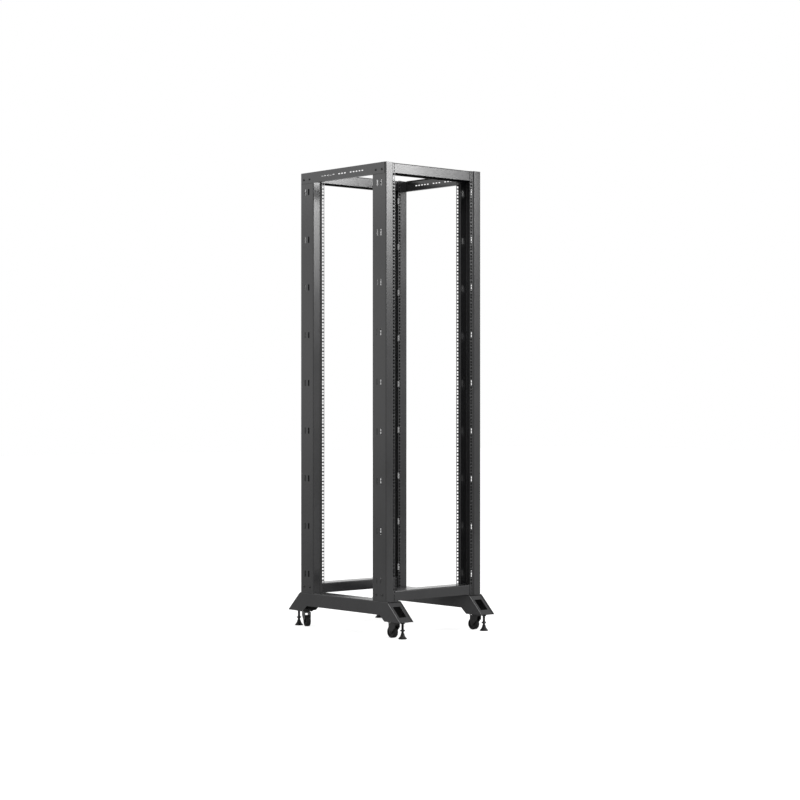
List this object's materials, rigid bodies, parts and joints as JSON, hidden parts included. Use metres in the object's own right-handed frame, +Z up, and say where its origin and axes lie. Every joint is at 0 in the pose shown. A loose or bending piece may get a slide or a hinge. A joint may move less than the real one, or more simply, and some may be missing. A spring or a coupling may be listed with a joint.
{
  "type": "four post open frame rack",
  "caption": "Open frame equipment rack with folded posts, square mounting holes, splayed base beams, swivel castors and screw levelling feet.",
  "frame": {"origin": "on the floor, in the middle of the rack's footprint", "axes": "+Z up, +X to the right and +Y to the back, seen from the front"},
  "size_m": [0.572, 0.82, 2.12],
  "materials": {
    "powder_coat": "satin black powder coat",
    "black_steel": "black electroplated steel",
    "wheel_body": "moulded nylon",
    "tread": "black rubber"
  },
  "bodies": {
    "frame": {"post_front_left": "powder_coat", "post_front_right": "powder_coat", "post_rear_left": "powder_coat", "post_rear_right": "powder_coat", "top_rail_front": "powder_coat", "top_rail_rear": "powder_coat", "side_rail_left": "powder_coat", "side_rail_right": "powder_coat", "crossbeam_front": "powder_coat", "crossbeam_rear": "powder_coat", "base_beam_left": "powder_coat", "base_beam_right": "powder_coat", "foot_cap_front_left": "powder_coat", "foot_plate_front_left": "powder_coat", "castor_plate_front_left": "black_steel", "foot_cap_front_right": "powder_coat", "foot_plate_front_right": "powder_coat", "castor_plate_front_right": "black_steel", "foot_cap_rear_left": "powder_coat", "foot_plate_rear_left": "powder_coat", "castor_plate_rear_left": "black_steel", "foot_cap_rear_right": "powder_coat", "foot_plate_rear_right": "powder_coat", "castor_plate_rear_right": "black_steel"},
    "swivel_front_left": {"castor_fork_front_left": "black_steel"},
    "wheel_front_left": {"castor_wheel_front_left": "wheel_body", "castor_tyre_front_left": "tread"},
    "leveller_front_left": {"levelling_foot_front_left": "black_steel", "foot_nut_front_left": "black_steel"},
    "swivel_front_right": {"castor_fork_front_right": "black_steel"},
    "wheel_front_right": {"castor_wheel_front_right": "wheel_body", "castor_tyre_front_right": "tread"},
    "leveller_front_right": {"levelling_foot_front_right": "black_steel", "foot_nut_front_right": "black_steel"},
    "swivel_rear_left": {"castor_fork_rear_left": "black_steel"},
    "wheel_rear_left": {"castor_wheel_rear_left": "wheel_body", "castor_tyre_rear_left": "tread"},
    "leveller_rear_left": {"levelling_foot_rear_left": "black_steel", "foot_nut_rear_left": "black_steel"},
    "swivel_rear_right": {"castor_fork_rear_right": "black_steel"},
    "wheel_rear_right": {"castor_wheel_rear_right": "wheel_body", "castor_tyre_rear_right": "tread"},
    "leveller_rear_right": {"levelling_foot_rear_right": "black_steel", "foot_nut_rear_right": "black_steel"}
  },
  "joints": [
    {"name": "castor_swivel_front_left", "type": "hinge", "parent": "frame", "child": "swivel_front_left", "pos_m": [-0.24405, -0.322, 0.07], "axis": [0, 0, 1], "continuous": true},
    {"name": "wheel_spin_front_left", "type": "hinge", "parent": "swivel_front_left", "child": "wheel_front_left", "pos_m": [-0.24405, -0.311, 0.0268], "axis": [1, 0, 0], "continuous": true},
    {"name": "foot_screw_front_left", "type": "slide", "parent": "frame", "child": "leveller_front_left", "axis": [0, 0, 1], "range_m": [0, 0.006]},
    {"name": "castor_swivel_front_right", "type": "hinge", "parent": "frame", "child": "swivel_front_right", "pos_m": [0.24405, -0.322, 0.07], "axis": [0, 0, 1], "continuous": true},
    {"name": "wheel_spin_front_right", "type": "hinge", "parent": "swivel_front_right", "child": "wheel_front_right", "pos_m": [0.24309, -0.31104, 0.0268], "axis": [0.9962, 0.0872, 0], "continuous": true},
    {"name": "foot_screw_front_right", "type": "slide", "parent": "frame", "child": "leveller_front_right", "axis": [0, 0, 1], "range_m": [0, 0.006]},
    {"name": "castor_swivel_rear_left", "type": "hinge", "parent": "frame", "child": "swivel_rear_left", "pos_m": [-0.24405, 0.322, 0.07], "axis": [0, 0, 1], "continuous": true},
    {"name": "wheel_spin_rear_left", "type": "hinge", "parent": "swivel_rear_left", "child": "wheel_rear_left", "pos_m": [-0.24781, 0.31166, 0.0268], "axis": [-0.9397, 0.342, 0], "continuous": true},
    {"name": "foot_screw_rear_left", "type": "slide", "parent": "frame", "child": "leveller_rear_left", "axis": [0, 0, 1], "range_m": [0, 0.006]},
    {"name": "castor_swivel_rear_right", "type": "hinge", "parent": "frame", "child": "swivel_rear_right", "pos_m": [0.24405, 0.322, 0.07], "axis": [0, 0, 1], "continuous": true},
    {"name": "wheel_spin_rear_right", "type": "hinge", "parent": "swivel_rear_right", "child": "wheel_rear_right", "pos_m": [0.24405, 0.333, 0.0268], "axis": [1, 0, 0], "continuous": true},
    {"name": "foot_screw_rear_right", "type": "slide", "parent": "frame", "child": "leveller_rear_right", "axis": [0, 0, 1], "range_m": [0, 0.006]}
  ]
}
